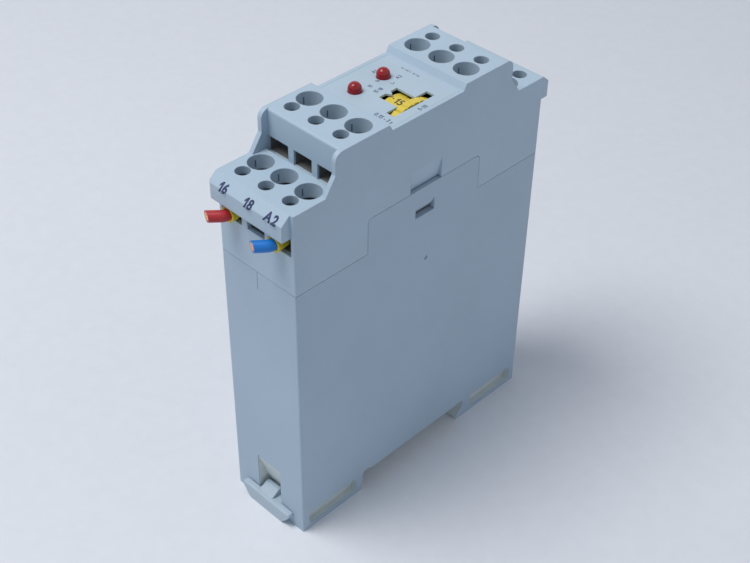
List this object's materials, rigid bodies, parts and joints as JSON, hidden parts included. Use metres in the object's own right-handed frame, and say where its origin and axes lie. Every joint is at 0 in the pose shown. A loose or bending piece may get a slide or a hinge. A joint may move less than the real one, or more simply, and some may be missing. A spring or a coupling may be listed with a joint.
{
  "type": "din rail relay module",
  "caption": "Slim grey DIN rail relay module with a yellow setting wheel, two red lamps, screw terminals and two cut wire ends",
  "frame": {"origin": "middle of the face that seats on the rail", "axes": "+X along the rail towards the large face with the pry notch in view, +Y across the rail away from the latch handle, +Z away from the rail"},
  "size_m": [0.0226, 0.0817, 0.1002],
  "materials": {
    "grey_housing": "fine satin moulding",
    "grey_cover": "fine satin moulding",
    "grey_plate": "printed plate",
    "pale_latch": "moulded",
    "yellow_dial": "moulded",
    "red_lens": "clear tinted moulding",
    "zinc_steel": "zinc plated",
    "tinned_metal": "tinned",
    "circuit_board": "lacquered",
    "black_case": "moulded",
    "blue_case": "dipped",
    "red_insulation": "extruded",
    "blue_insulation": "extruded",
    "yellow_collar": "moulded",
    "copper": "bare strands",
    "print_ink": "pad printed"
  },
  "bodies": {
    "root": {"base_housing": "grey_housing", "top_cover": "grey_cover", "front_plate": "grey_plate", "wheel_potentiometer": "blue_case", "near_lamp": "red_lens", "far_lamp": "red_lens", "main_board": "circuit_board", "near_terminal_board": "circuit_board", "far_terminal_board": "circuit_board", "sealed_relay": "black_case", "film_capacitor": "blue_case", "smoothing_capacitors": "black_case", "timing_chip": "black_case", "varistor": "blue_case", "left_wire": "red_insulation", "left_wire_core": "copper", "left_ferrule_collar": "yellow_collar", "left_ferrule_tube": "tinned_metal", "right_wire": "blue_insulation", "right_wire_core": "copper", "right_ferrule_collar": "yellow_collar", "right_ferrule_tube": "tinned_metal", "near_lower_screws": "zinc_steel", "near_lower_clamps": "zinc_steel", "near_lower_contacts": "tinned_metal", "near_upper_screws": "zinc_steel", "near_upper_clamps": "zinc_steel", "near_upper_contacts": "tinned_metal", "far_lower_screws": "zinc_steel", "far_lower_clamps": "zinc_steel", "far_lower_contacts": "tinned_metal", "far_upper_screws": "zinc_steel", "far_upper_clamps": "zinc_steel", "far_upper_contacts": "tinned_metal"},
    "latch": {"rail_latch": "pale_latch"},
    "wheel": {"time_wheel": "yellow_dial", "wheel_axle": "black_case"}
  },
  "joints": [
    {"name": "latch_slide", "type": "slide", "parent": "root", "child": "latch", "axis": [0, -1, 0], "range_m": [0, 0.0035], "stiffness_N_per_m": 900, "springref_m": -0.002},
    {"name": "wheel_turn", "type": "hinge", "parent": "root", "child": "wheel", "pos_m": [0, -0.0009, 0.0832], "axis": [1, 0, 0], "range_deg": [-150, 150]}
  ]
}
